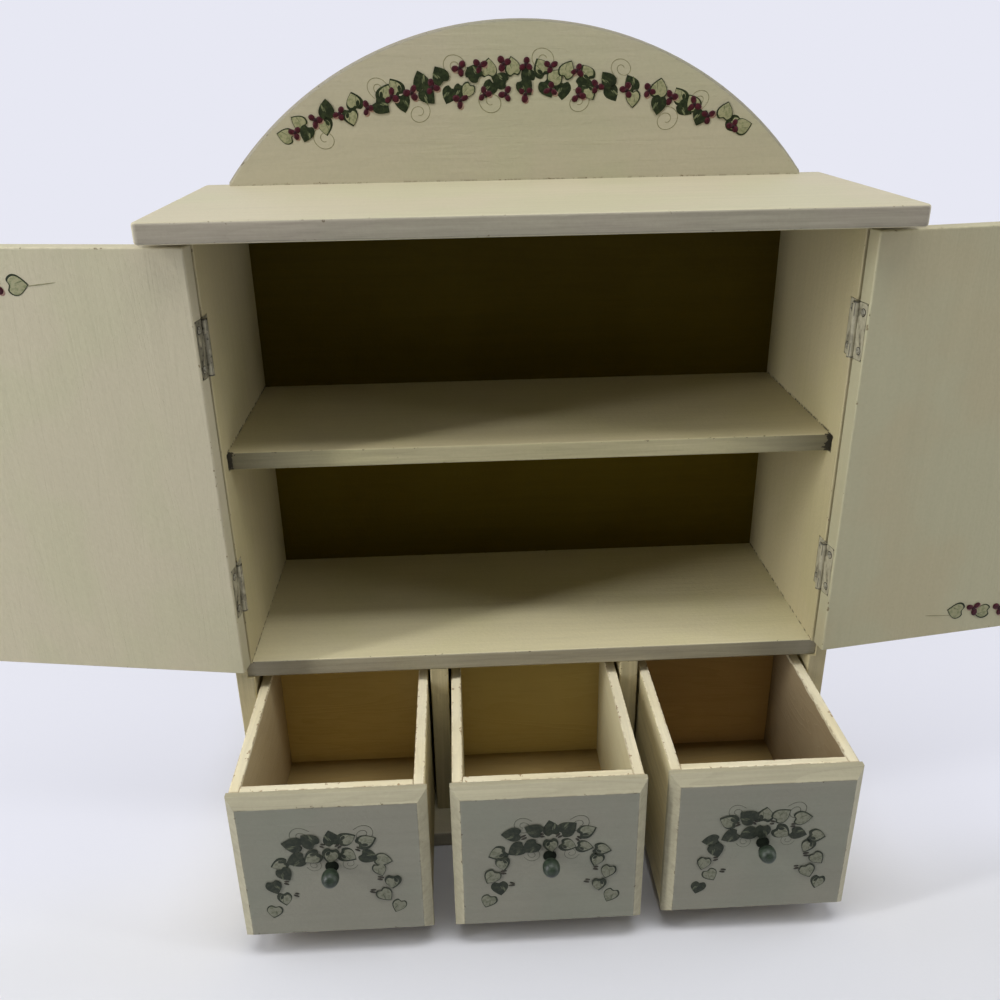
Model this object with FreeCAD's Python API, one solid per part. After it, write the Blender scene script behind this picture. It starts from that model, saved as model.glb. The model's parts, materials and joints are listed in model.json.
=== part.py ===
import FreeCAD, Part
import math
import os

# A small pine jewelry cabinet: an arched pediment on an overhanging top, two doors and three drawers.
# Millimetres, +Z up, the front faces -Y. The origin is the centre of the underside of the base board.
# It stands with its doors folded back past half a turn and its drawers pulled out.

# Case
board = 9.0                  # thickness of the case boards
case_width = 300.0           # over the two sides
case_depth = 115.0           # front edge of a side to the back of the cabinet
side_overhang = 10.0         # top and base boards beyond each side
front_overhang = 17.0        # top and base boards in front of the sides
bay_height = 90.0            # clear height of the three drawer bays
compartment_height = 207.0   # clear height behind the doors
shelf_underside = 208.0      # height of the shelf's underside above the table
shelf_thickness = 8.5
shelf_setback = 9.7          # the shelf's front behind the front edges of the sides
floor_setback = 1.5          # the floor and dividers behind the front edges of the sides
divider_centre = 48.5        # centre of each divider from the middle of the case
dado_depth = 3.4             # grooves in the sides that hold the shelf and the floor
dado_open = 2.5              # the shelf's grooves stop this far in front of it
back_thickness = 4.0
rabbet_width = 4.5           # step in the back edge of each side that takes the back panel
board_corner = 2.5           # rounding of the top and base boards in plan
board_ease = 1.3             # rounding of their long edges
edge_ease = 0.8              # rounding of the other boards
pediment_half_width = 146.0
pediment_rise = 74.3
pediment_foot = 2.0          # upright ends below the arc
pediment_ease = 1.5

# Panel pins through the back
pin_head = 2.4
pin_head_depth = 0.6
pin_shank = 1.2
pin_length = 13.0
pin_rows = 4                 # up each side

# Doors
door_thickness = 8.5
door_side_gap = 1.0
door_bottom_gap = 1.0
door_top_gap = 2.0
door_meeting_gap = 2.0
door_swing = 189.0           # degrees that each door is turned from shut
door_knob_inset = 14.0       # knob centre from the free edge of a door
door_knob_height = 196.0     # clear of the shelf behind the shut door

# Butt hinges
hinge_length = 25.0
hinge_heights = (152.0, 269.5)
hinge_pin_proud = 1.2        # pin centre in front of the sides
hinge_pin_radius = 0.8
knuckle_radius = 1.55
knuckle_share = 0.25         # each end knuckle's share of the length
knuckle_gap = 0.2
knuckle_clearance = 0.2      # a leaf's edge from the other leaf's knuckles
pin_running_fit = 0.05
leaf_thickness = 0.9
leaf_width = 6.8             # from the front of the wood to the far edge of a leaf
mortise_slack = 0.3          # open line round a leaf in the wood
leaf_screw_pitch = 17.0
leaf_screw_depth = 4.0       # screw centre from the front of the wood
leaf_screw_head = 3.2
leaf_screw_shank = 1.6
leaf_screw_length = 7.0

# Drawers
drawer_width = 85.0
drawer_top = 92.0            # height of the drawers' top edges above the table
drawer_lift = 0.3            # running space above the base board
drawer_length = 110.5        # over the box, without its front board
drawer_side = 4.8
drawer_end = 4.0             # box front and back
drawer_bottom = 3.0
bottom_groove = 1.8          # depth of the grooves for the bottom panel
bottom_height = 9.0          # underside of the bottom panel above the box's lower edge
drawer_ease = 0.5
front_width = 87.0
front_thickness = 7.0
front_chamfer = 4.3
front_lift = 2.0             # front board above the base board
front_ease = 0.6
knob_height = 54.5           # drawer knobs above the table
bay_pitch = 97.0
drawer_pull = {"left": 76.0, "middle": 76.0, "right": 74.0}

# Ball knobs
knob_ball_radius = 3.9
knob_ball_half_length = 4.5
knob_ball_centre = 7.2       # from the surface it stands on
knob_neck_radius = 2.1
knob_shoulder_radius = 2.5
knob_flange_radius = 3.0
knob_flange_thickness = 0.8
knob_screw_radius = 1.5
knob_screw_reach = 7.0       # into the knob
knob_screw_head_radius = 3.2
knob_screw_head_height = 1.8

# Places that follow from these
half_inside = case_width / 2 - board
plan_depth = case_depth + front_overhang
case_front = front_overhang - plan_depth / 2
case_back = plan_depth / 2
panel_front = case_back - back_thickness
floor_underside = board + bay_height
floor_top = floor_underside + board
top_underside = floor_top + compartment_height
top_surface = top_underside + board
door_bottom = floor_top + door_bottom_gap
door_top = top_underside - door_top_gap
hinge_x = half_inside - door_side_gap / 2
hinge_y = case_front - hinge_pin_proud

origin = FreeCAD.Vector(0, 0, 0)
axis_x = FreeCAD.Vector(1, 0, 0)
axis_y = FreeCAD.Vector(0, 1, 0)
axis_z = FreeCAD.Vector(0, 0, 1)
hair = 0.01


def slab(xs, ys, zs):
    corner = FreeCAD.Vector(xs[0], ys[0], zs[0])
    return Part.makeBox(xs[1] - xs[0], ys[1] - ys[0], zs[1] - zs[0], corner)


def rod(radius, length, start, direction):
    return Part.makeCylinder(radius, length, FreeCAD.Vector(*start), direction)


# Edges that lie at the given places and, where an axis is named, run straight along it.
def edges_at(shape, x=None, y=None, z=None, along=None):
    found = []
    for edge in shape.Edges:
        box = edge.BoundBox
        places = ((x, box.XMin, box.XMax), (y, box.YMin, box.YMax), (z, box.ZMin, box.ZMax))
        at_place = all(p is None or (abs(low - p) < hair and abs(high - p) < hair) for p, low, high in places)
        spans = {"x": box.XLength, "y": box.YLength, "z": box.ZLength}
        straight = along is None or sum(spans.values()) - spans[along] < hair
        if at_place and straight:
            found.append(edge)
    return found


def mirrored(shape):
    return shape.mirror(origin, axis_x)


# The top and base boards share one plan, with rounded corners and eased rims.
def overhanging_board(underside):
    reach = case_width / 2 + side_overhang
    plate = slab((-reach, reach), (-plan_depth / 2, plan_depth / 2), (underside, underside + board))
    plate = plate.makeFillet(board_corner, edges_at(plate, along="z"))
    rims = edges_at(plate, z=underside) + edges_at(plate, z=underside + board)
    return plate.makeFillet(board_ease, rims)


# A circular segment on a low foot, standing on the back edge of the top.
def pediment():
    y = case_back - board
    spring = top_surface + pediment_foot
    corners = [FreeCAD.Vector(x, y, z) for x, z in (
        (pediment_half_width, spring), (pediment_half_width, top_surface),
        (-pediment_half_width, top_surface), (-pediment_half_width, spring))]
    crown = FreeCAD.Vector(0, y, top_surface + pediment_rise)
    arc = Part.Arc(corners[-1], crown, corners[0]).toShape()
    outline = Part.Wire([Part.makePolygon(corners), arc])
    segment = Part.Face(outline).extrude(axis_y * board)
    arcs = [edge for edge in segment.Edges if edge.BoundBox.ZLength > pediment_rise / 2]
    return segment.makeFillet(pediment_ease, arcs)


def right_side():
    side = slab((half_inside, case_width / 2), (case_front, case_back), (board, top_underside))
    side = side.makeFillet(edge_ease, edges_at(side, y=case_front, along="z"))
    rabbet = slab((half_inside - 1, half_inside + rabbet_width), (panel_front, case_back + 1),
                  (board, top_underside))
    grooves = [rabbet]
    shelf_stop = case_front + shelf_setback - dado_open
    for low, height, front in ((floor_underside, board, case_front - 1),
                               (shelf_underside, shelf_thickness, shelf_stop)):
        grooves.append(slab((half_inside - 1, half_inside + dado_depth), (front, panel_front),
                            (low, low + height)))
    side = side.cut(grooves)
    for height in hinge_heights:
        side = side.cut(mortise(height, half_inside, half_inside + leaf_thickness))
    return side


# The recess for a hinge leaf, open to the front, a little larger than the leaf.
def mortise(height, x_low, x_high):
    half = hinge_length / 2 + mortise_slack
    return slab((x_low, x_high), (case_front - 1, case_front + leaf_width + mortise_slack),
                (height - half, height + half))


def shelf_board(underside, thickness, setback, half_length):
    front = case_front + setback
    shelf = slab((-half_length, half_length), (front, panel_front), (underside, underside + thickness))
    return shelf.makeFillet(edge_ease, edges_at(shelf, y=front, along="x"))


def divider(centre):
    front = case_front + floor_setback
    post = slab((centre - board / 2, centre + board / 2), (front, panel_front), (board, floor_underside))
    return post.makeFillet(edge_ease, edges_at(post, y=front, along="z"))


def back_panel():
    reach = half_inside + rabbet_width
    return slab((-reach, reach), (panel_front, case_back), (board, top_underside))


# Small flat-headed pins driven through the back into the sides, the floor and the shelf.
def panel_pins():
    span = top_underside - board
    ledge = half_inside + rabbet_width / 2
    places = []
    for row in range(pin_rows):
        height = board + span * (row + 0.5) / pin_rows
        places += [(-ledge, height), (ledge, height)]
    places += [(x, floor_underside + board / 2) for x in (-bay_pitch, 0, bay_pitch)]
    places += [(x, shelf_underside + shelf_thickness / 2) for x in (-divider_centre, divider_centre)]
    pins = []
    for x, z in places:
        head = rod(pin_head / 2, pin_head_depth, (x, case_back - pin_head_depth, z), axis_y)
        shank = rod(pin_shank / 2, pin_length, (x, case_back - pin_length, z), axis_y)
        pins.append(head.fuse(shank).removeSplitter())
    return pins


# The right-hand leaves and doors are made shut; the left-hand ones are their mirror images.
def leaf(height, on_door):
    half = hinge_length / 2
    far = case_front + leaf_width
    if on_door:
        xs = (half_inside - door_side_gap - leaf_thickness, half_inside - door_side_gap)
    else:
        xs = (half_inside, half_inside + leaf_thickness)
    plate = slab(xs, (hinge_y, far), (height - half, height + half))
    corners = edges_at(plate, y=far, along="x")
    plate = plate.makeFillet(edge_ease, corners)
    end = hinge_length * knuckle_share
    ends = ((height - half, height - half + end), (height + half - end, height + half))
    middle = ((ends[0][1], ends[1][0]),)
    own, other = (middle, ends) if on_door else (ends, middle)
    for low, high in other:
        room = rod(knuckle_radius + knuckle_clearance, high - low + 2 * knuckle_gap,
                   (hinge_x, hinge_y, low - knuckle_gap), axis_z)
        plate = plate.cut(room)
    trim = knuckle_gap / 2 if on_door else 0
    for low, high in own:
        knuckle = rod(knuckle_radius, high - low - 2 * trim, (hinge_x, hinge_y, low + trim), axis_z)
        plate = plate.fuse(knuckle)
    bore = hinge_pin_radius + (pin_running_fit if on_door else 0)
    plate = plate.cut(rod(bore, hinge_length, (hinge_x, hinge_y, height - half), axis_z))
    return plate.removeSplitter()


def hinge_pin(height):
    return rod(hinge_pin_radius, hinge_length, (hinge_x, hinge_y, height - hinge_length / 2), axis_z)


# Countersunk screws, their heads level with the leaf.
def leaf_screws(on_door):
    if on_door:
        face, inward = half_inside - door_side_gap, axis_x * -1
    else:
        face, inward = half_inside, axis_x
    screws = []
    for height in hinge_heights:
        for offset in (-leaf_screw_pitch / 2, leaf_screw_pitch / 2):
            place = FreeCAD.Vector(face, case_front + leaf_screw_depth, height + offset)
            shank = leaf_screw_shank / 2
            head = Part.makeCone(leaf_screw_head / 2, shank, leaf_thickness, place, inward)
            body = Part.makeCylinder(shank, leaf_screw_length, place, inward)
            screws.append(head.fuse(body).removeSplitter())
    return screws


def shut_door():
    xs = (door_meeting_gap / 2, half_inside - door_side_gap)
    door = slab(xs, (case_front, case_front + door_thickness), (door_bottom, door_top))
    door = door.makeFillet(edge_ease, door.Edges)
    for height in hinge_heights:
        door = door.cut(mortise(height, xs[1] - leaf_thickness, xs[1]))
    return door


# Turns something that belongs to the shut right-hand door to where the open door stands.
def swung(shape):
    turned = shape.copy()
    turned.rotate(FreeCAD.Vector(hinge_x, hinge_y, 0), axis_z, door_swing)
    return turned


# A ball knob on a neck and flange, turned as one piece. It is made about the Y axis, facing -Y.
def knob_profile():
    foot = FreeCAD.Vector(knob_flange_radius, 0, 0)
    rim = FreeCAD.Vector(knob_flange_radius, -knob_flange_thickness / 2, 0)
    shoulder = FreeCAD.Vector(knob_shoulder_radius, -knob_flange_thickness, 0)
    angle = math.asin(knob_shoulder_radius / knob_ball_radius)
    join_y = knob_ball_half_length * math.cos(angle) - knob_ball_centre
    join = FreeCAD.Vector(knob_shoulder_radius, join_y, 0)
    waist = FreeCAD.Vector(knob_neck_radius, (join_y - knob_flange_thickness) / 2, 0)
    middle = FreeCAD.Vector(0, -knob_ball_centre, 0)
    tip = FreeCAD.Vector(0, -knob_ball_centre - knob_ball_half_length, 0)
    widest = FreeCAD.Vector(knob_ball_radius, -knob_ball_centre, 0)
    ball = Part.Ellipse(tip, widest, middle)
    outline = [
        Part.makeLine(origin, foot),
        Part.makeLine(foot, rim),
        Part.makeLine(rim, shoulder),
        Part.Arc(shoulder, waist, join).toShape(),
        Part.ArcOfEllipse(ball, 0, ball.parameter(join)).toShape(),
        Part.makeLine(tip, origin),
    ]
    return Part.Face(Part.Wire(outline))


def knob(place):
    turned = knob_profile().revolve(origin, axis_y, 360)
    turned.translate(place)
    return turned


# The machine screw that holds a knob, put in from behind through wood of the given thickness.
def knob_screw(place, wood):
    shank = rod(knob_screw_radius, wood + knob_screw_reach, (0, -knob_screw_reach, 0), axis_y)
    head = rod(knob_screw_head_radius, knob_screw_head_height, (0, wood, 0), axis_y)
    rim = edges_at(head, y=wood + knob_screw_head_height)
    screw = head.makeFillet(knob_screw_head_height / 2, rim).fuse(shank).removeSplitter()
    screw.translate(place)
    return screw


# One drawer, pushed right in and centred on x = 0. Its box has grooved walls round a thin bottom panel.
def drawer_box():
    low = board + drawer_lift
    half = drawer_width / 2
    inner = half - drawer_side
    back_end = case_front + drawer_length
    walls = {
        "right_wall": slab((inner, half), (case_front, back_end), (low, drawer_top)),
        "box_front": slab((-inner, inner), (case_front, case_front + drawer_end), (low, drawer_top)),
        "box_back": slab((-inner, inner), (back_end - drawer_end, back_end), (low, drawer_top)),
    }
    walls["left_wall"] = mirrored(walls["right_wall"])
    panel = slab((-inner - bottom_groove, inner + bottom_groove),
                 (case_front + drawer_end - bottom_groove, back_end - drawer_end + bottom_groove),
                 (low + bottom_height, low + bottom_height + drawer_bottom))
    for name, wall in walls.items():
        along = "y" if name.endswith("_wall") else "x"
        top_edges = edges_at(wall, z=drawer_top, along=along)
        walls[name] = wall.makeFillet(drawer_ease, top_edges).cut(panel)
    walls["bottom"] = panel
    return walls


# The applied front: chamfered on all four sides towards its face.
def front_board():
    half = front_width / 2
    face = case_front - front_thickness
    plaque = slab((-half, half), (face, case_front), (board + front_lift, drawer_top))
    plaque = plaque.makeChamfer(front_chamfer, edges_at(plaque, y=face))
    rims = edges_at(plaque, y=face) + edges_at(plaque, y=face + front_chamfer)
    return plaque.makeFillet(front_ease, rims)


def drawer():
    pieces = drawer_box()
    pieces["front_board"] = front_board()
    pieces["knob"] = knob(FreeCAD.Vector(0, case_front - front_thickness, knob_height))
    screw = knob_screw(FreeCAD.Vector(0, case_front - front_thickness, knob_height),
                       front_thickness + drawer_end)
    for name in ("box_front", "front_board", "knob"):
        pieces[name] = pieces[name].cut(screw)
    pieces["knob_screw"] = screw
    return pieces


def case_nodes():
    pins = panel_pins()
    side = right_side().cut(leaf_screws(on_door=False))
    half_floor = half_inside + dado_depth
    nodes = {
        "base_board": overhanging_board(0),
        "left_side": mirrored(side).cut(pins),
        "right_side": side.cut(pins),
        "left_divider": divider(-divider_centre),
        "right_divider": divider(divider_centre),
        "compartment_floor": shelf_board(floor_underside, board, floor_setback, half_floor).cut(pins),
        "middle_shelf": shelf_board(shelf_underside, shelf_thickness, shelf_setback, half_floor).cut(pins),
        "top_board": overhanging_board(top_underside),
        "pediment": pediment(),
        "back_panel": back_panel().cut(pins),
        "back_panel_pins": Part.makeCompound(pins),
    }
    return nodes


# Everything on the right of the case that belongs to its door, hinges and screws, by side-less name.
def door_nodes():
    door_screws = leaf_screws(on_door=True)
    frame_screws = leaf_screws(on_door=False)
    knob_x = door_meeting_gap / 2 + door_knob_inset
    knob_place = FreeCAD.Vector(knob_x, case_front, door_knob_height)
    screw = knob_screw(knob_place, door_thickness)
    nodes = {
        "door": swung(shut_door().cut(door_screws + [screw])),
        "door_knob": swung(knob(knob_place).cut(screw)),
        "door_knob_screw": swung(screw),
        "door_hinge_screws": swung(Part.makeCompound(door_screws)),
        "frame_hinge_screws": Part.makeCompound(frame_screws),
    }
    for level, height in zip(("lower", "upper"), hinge_heights):
        nodes[f"{level}_hinge_frame_leaf"] = leaf(height, on_door=False).cut(frame_screws)
        nodes[f"{level}_hinge_door_leaf"] = swung(leaf(height, on_door=True).cut(door_screws))
        nodes[f"{level}_hinge_pin"] = hinge_pin(height)
    return nodes


def all_nodes():
    nodes = case_nodes()
    for name, shape in door_nodes().items():
        nodes[f"right_{name}"] = shape
        nodes[f"left_{name}"] = mirrored(shape)
    for slot, (side, pull) in enumerate(drawer_pull.items()):
        move = FreeCAD.Vector((slot - 1) * bay_pitch, -pull, 0)
        for name, shape in drawer().items():
            nodes[f"{side}_drawer_{name}"] = shape.translated(move)
    return nodes


os.makedirs("parts", exist_ok=True)
for node_name, node_shape in all_nodes().items():
    node_shape.exportStep(f"parts/{node_name}.step")
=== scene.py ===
import json
import math
import random
import bmesh
import bpy
from mathutils import Euler, Matrix, Vector


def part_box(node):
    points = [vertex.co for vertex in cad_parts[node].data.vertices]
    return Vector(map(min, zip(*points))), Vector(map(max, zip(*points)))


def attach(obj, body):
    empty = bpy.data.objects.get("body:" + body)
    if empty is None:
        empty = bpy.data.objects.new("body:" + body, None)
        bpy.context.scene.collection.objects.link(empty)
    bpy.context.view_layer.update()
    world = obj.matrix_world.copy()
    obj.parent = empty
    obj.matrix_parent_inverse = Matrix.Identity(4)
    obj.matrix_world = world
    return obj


# A hand-painted jewelry cabinet: cream and sage paint over pine, ivy garlands, doors folded back.
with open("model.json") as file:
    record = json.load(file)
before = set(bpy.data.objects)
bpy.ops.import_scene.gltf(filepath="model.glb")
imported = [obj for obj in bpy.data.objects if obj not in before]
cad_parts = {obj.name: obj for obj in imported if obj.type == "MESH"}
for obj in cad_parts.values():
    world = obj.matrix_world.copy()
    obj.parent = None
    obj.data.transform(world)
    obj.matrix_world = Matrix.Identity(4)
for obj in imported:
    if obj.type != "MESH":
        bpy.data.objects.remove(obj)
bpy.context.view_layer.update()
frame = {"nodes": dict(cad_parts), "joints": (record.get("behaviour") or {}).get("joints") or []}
nodes = frame["nodes"]
mm = 0.001
print("frame loaded,", len(nodes), "pieces")


# Selecting and finishing

def deselectAll():
    bpy.ops.object.select_all(action="DESELECT")


def takeUp(piece):
    deselectAll()
    piece.select_set(True)
    bpy.context.view_layer.objects.active = piece


def newPiece(add, **shape):                # adds it and takes it into edit mode
    deselectAll()
    add(**shape)
    bpy.ops.object.mode_set(mode="EDIT")
    return bpy.context.object


def pick(piece, kind, wanted):             # in edit mode, the vertices, edges or faces that pass a test
    bpy.ops.mesh.select_mode(type=kind)
    bpy.ops.mesh.select_all(action="DESELECT")
    mesh = bmesh.from_edit_mesh(piece.data)
    for part in {"VERT": mesh.verts, "EDGE": mesh.edges, "FACE": mesh.faces}[kind]:
        part.select = wanted(part)
    mesh.select_flush_mode()
    bmesh.update_edit_mesh(piece.data)


def closeUp(piece):                        # leaves edit mode with all faces pointing out
    bpy.ops.mesh.select_all(action="SELECT")
    bpy.ops.mesh.normals_make_consistent(inside=False)
    bpy.ops.object.mode_set(mode="OBJECT")
    takeUp(piece)
    bpy.ops.object.shade_smooth_by_angle(angle=math.radians(40))


def joined(pieces, name, body):
    deselectAll()
    for piece in pieces:
        piece.select_set(True)
    bpy.context.view_layer.objects.active = pieces[0]
    bpy.ops.object.join()
    whole = bpy.context.object
    bpy.ops.object.transform_apply(location=True, rotation=True, scale=True)
    whole.name = whole.data.name = name
    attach(whole, body)


def copyOf(model, place, material):        # with a mesh and a material of its own
    copy = bpy.data.objects.new(model.name, model.data.copy())
    copy.matrix_world = place
    copy.data.materials.clear()
    copy.data.materials.append(material)
    bpy.context.collection.objects.link(copy)
    return copy


def setAside(models):                      # the models that were only copied
    for model in models:
        bpy.data.objects.remove(model)


# Node wiring

def plug(tree, socket, value):             # a wire where the value is a socket, a setting where it isn't
    if isinstance(value, bpy.types.NodeSocket):
        tree.links.new(value, socket)
    elif socket.type == "RGBA":
        socket.default_value = (*value, 1)
    else:
        socket.default_value = value


def maths(tree, operation, *values, clamp=False):
    node = tree.nodes.new("ShaderNodeMath")
    node.operation = operation
    node.use_clamp = clamp
    for socket, value in zip(node.inputs, values):
        plug(tree, socket, value)
    return node.outputs["Value"]


def plus(tree, first, second, clamp=False):
    return maths(tree, "ADD", first, second, clamp=clamp)


def minus(tree, first, second):
    return maths(tree, "SUBTRACT", first, second)


def times(tree, first, second, clamp=False):
    return maths(tree, "MULTIPLY", first, second, clamp=clamp)


def larger(tree, first, second):
    return maths(tree, "MAXIMUM", first, second)


def sizeOf(tree, value):                   # without its sign
    return maths(tree, "ABSOLUTE", value)


def about(tree, value, middle, gain):      # how far a value is from a middle one, made larger or smaller
    return times(tree, minus(tree, value, middle), gain)


def reachOf(tree, first, second):          # the long side of a right triangle, from its other two
    return maths(tree, "SQRT", plus(tree, times(tree, first, first), times(tree, second, second)))


def secondSmallest(tree, x, y, z):         # on a box that is how far the nearest arris is
    least = maths(tree, "MINIMUM", x, y)
    most = larger(tree, x, y)
    return larger(tree, least, maths(tree, "MINIMUM", most, z))


def vectorMaths(tree, operation, first, second=None, scale=None):
    node = tree.nodes.new("ShaderNodeVectorMath")
    node.operation = operation
    plug(tree, node.inputs[0], first)
    if second is not None:
        plug(tree, node.inputs[1], second)
    if scale is not None:
        plug(tree, node.inputs["Scale"], scale)
    return node.outputs["Vector"]


def split(tree, vector):
    node = tree.nodes.new("ShaderNodeSeparateXYZ")
    plug(tree, node.inputs[0], vector)
    return node.outputs[0], node.outputs[1], node.outputs[2]


def ramp(tree, value, low, high, start=0.0, end=1.0):
    node = tree.nodes.new("ShaderNodeMapRange")
    node.interpolation_type = "SMOOTHSTEP"
    for socket, amount in zip(node.inputs, (value, low, high, start, end)):
        plug(tree, socket, amount)
    return node.outputs[0]


def blend(tree, share, first, second, kind="MIX"):
    node = tree.nodes.new("ShaderNodeMix")
    node.data_type = "RGBA"
    node.blend_type = kind
    plug(tree, node.inputs[0], share)
    plug(tree, node.inputs[6], first)
    plug(tree, node.inputs[7], second)
    return node.outputs[2]


def noise(tree, place, scale, detail=2.0, distortion=0.0):     # three scales stretch it along the axes
    if isinstance(scale, tuple):
        place = vectorMaths(tree, "MULTIPLY", place, scale)
        scale = 1.0
    node = tree.nodes.new("ShaderNodeTexNoise")
    plug(tree, node.inputs["Vector"], place)
    plug(tree, node.inputs["Scale"], scale)
    plug(tree, node.inputs["Detail"], detail)
    plug(tree, node.inputs["Distortion"], distortion)
    return node.outputs["Fac"]


def newGroup(name, given, made):
    group = bpy.data.node_groups.new(name, "ShaderNodeTree")
    for label, kind, value in given:
        socket = group.interface.new_socket(name=label, in_out="INPUT", socket_type="NodeSocket" + kind)
        socket.default_value = value
    for label, kind in made:
        group.interface.new_socket(name=label, in_out="OUTPUT", socket_type="NodeSocket" + kind)
    inward = group.nodes.new("NodeGroupInput")
    outward = group.nodes.new("NodeGroupOutput")
    return group, inward.outputs, outward.inputs


def useGroup(tree, group, values):
    node = tree.nodes.new("ShaderNodeGroup")
    node.node_tree = group
    for label, value in values.items():
        plug(tree, node.inputs[label], value)
    return node.outputs


def newMaterial(name):
    material = bpy.data.materials.new(name)
    material.use_nodes = True
    tree = material.node_tree
    return material, tree, tree.nodes["Principled BSDF"]


def mixShaders(tree, share, first, second, last):          # and wires the mix to the last node
    mix = tree.nodes.new("ShaderNodeMixShader")
    for socket, wire in zip(mix.inputs, (share, first, second)):
        tree.links.new(wire, socket)
    tree.links.new(mix.outputs[0], tree.nodes[last].inputs["Surface"])


def objectPlace(tree):
    return tree.nodes.new("ShaderNodeTexCoord").outputs["Object"]


def facing(tree, axis, low, high):         # how squarely a face looks along an axis
    normal = tree.nodes.new("ShaderNodeTexCoord").outputs["Normal"]
    return ramp(tree, split(tree, normal)["xyz".index(axis)], low, high)


# What every finish ends with. The relief is in millimetres.
def surface(tree, shader, colour, rough, height, relief, shine=0.5):
    plug(tree, shader.inputs["Base Color"], colour)
    plug(tree, shader.inputs["Roughness"], rough)
    plug(tree, shader.inputs["Specular IOR Level"], shine)
    bump = tree.nodes.new("ShaderNodeBump")
    plug(tree, bump.inputs["Distance"], relief * mm)
    plug(tree, bump.inputs["Height"], height)
    tree.links.new(bump.outputs["Normal"], shader.inputs["Normal"])


def shade(red, green, blue):               # a colour as a paint chart gives it, 0 to 255
    return tuple(part / 255 / 12.92 if part < 10.3 else ((part / 255 + 0.055) / 1.055) ** 2.4
                 for part in (red, green, blue))


# Effects that several finishes share. Places in them are in millimetres, with X along the grain.

def makeBoardEdge():
    group, given, made = newGroup("boardEdge", [
        ("Place", "Vector", (0, 0, 0)), ("Half", "Vector", (1, 1, 1))], [("Edge", "Float")])
    inward = vectorMaths(group, "ABSOLUTE", given["Place"])
    x, y, z = split(group, vectorMaths(group, "SUBTRACT", given["Half"], inward))
    group.links.new(secondSmallest(group, x, y, z), made["Edge"])
    return group


def makeBrushedPaint():
    group, given, made = newGroup("brushedPaint", [
        ("Place", "Vector", (0, 0, 0)), ("Edge", "Float", 20.0), ("Paint", "Color", (0.5, 0.5, 0.5, 1)),
        ("Tint", "Color", (1, 1, 1, 1)), ("Under", "Color", (0.1, 0.1, 0.1, 1)), ("Strokes", "Float", 0.1),
        ("Wear", "Float", 1.0), ("RubAndSheen", "Float", 0.45), ("Rings", "Float", 0.22), ("Seed", "Float", 0.0)],
        [("Color", "Color"), ("Roughness", "Float"), ("Height", "Float")])
    shift = vectorMaths(group, "SCALE", (31.7, 17.3, 7.9), scale=given["Seed"])
    place = vectorMaths(group, "ADD", given["Place"], shift)
    broad = noise(group, place, 0.018, 3)
    sweep = noise(group, place, (0.011, 0.3, 0.3), 4, 0.35)
    bristle = noise(group, place, (0.05, 1.3, 1.3))
    figure = noise(group, place, (0.004, 0.045, 0.045), 2, 0.4)
    lines = ramp(group, maths(group, "FRACT", times(group, figure, 15.0)), 0.55, 1.0)
    peel = noise(group, place, 0.55, 3)
    # Light and dark streaks of the brush, with the growth rings faintly showing
    streak = plus(group, about(group, sweep, 0.5, 1.5), about(group, bristle, 0.5, 0.6))
    streak = minus(group, streak, times(group, lines, given["Rings"]))
    tone = plus(group, 1.0, times(group, streak, given["Strokes"]))
    tone = plus(group, tone, about(group, peel, 0.5, 0.1))
    painted = vectorMaths(group, "SCALE", given["Paint"], scale=tone)
    tinted = vectorMaths(group, "MULTIPLY", painted, given["Tint"])
    painted = blend(group, ramp(group, broad, 0.42, 0.62), painted, tinted)
    # A pale rub along the arrises that is partly a painted highlight, chips that bite in from them, and
    # small knocks
    rub = times(group, ramp(group, given["Edge"], 1.3, 0.2), ramp(group, sweep, 0.35, 0.6))
    painted = blend(group, times(group, rub, given["RubAndSheen"]), painted,
                    vectorMaths(group, "SCALE", given["Paint"], scale=1.22))
    ragged = noise(group, place, 0.42, 4)
    bite = times(group, about(group, ragged, 0.6, 13.0), given["Wear"])
    chip = ramp(group, minus(group, bite, given["Edge"]), 0.0, 0.35)
    cells = group.nodes.new("ShaderNodeTexVoronoi")
    plug(group, cells.inputs["Vector"], place)
    plug(group, cells.inputs["Scale"], 0.07)
    chance = ramp(group, split(group, cells.outputs["Color"])[0], 0.72, 0.74)
    reach = plus(group, cells.outputs["Distance"], times(group, ragged, 0.07))
    knock = times(group, ramp(group, reach, 0.062, 0.044), chance)
    knock = times(group, knock, given["Wear"], clamp=True)
    gone = larger(group, times(group, chip, 0.75), times(group, knock, 0.5))
    group.links.new(blend(group, gone, painted, given["Under"]), made["Color"])
    rough = plus(group, 0.5, times(group, bristle, 0.16))
    group.links.new(plus(group, rough, times(group, gone, 0.2)), made["Roughness"])
    height = plus(group, times(group, sweep, 0.6), times(group, bristle, 0.4))
    height = plus(group, height, times(group, peel, 0.9))
    height = minus(group, height, times(group, lines, 0.15))
    group.links.new(minus(group, height, times(group, gone, 1.6)), made["Height"])
    return group


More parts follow.
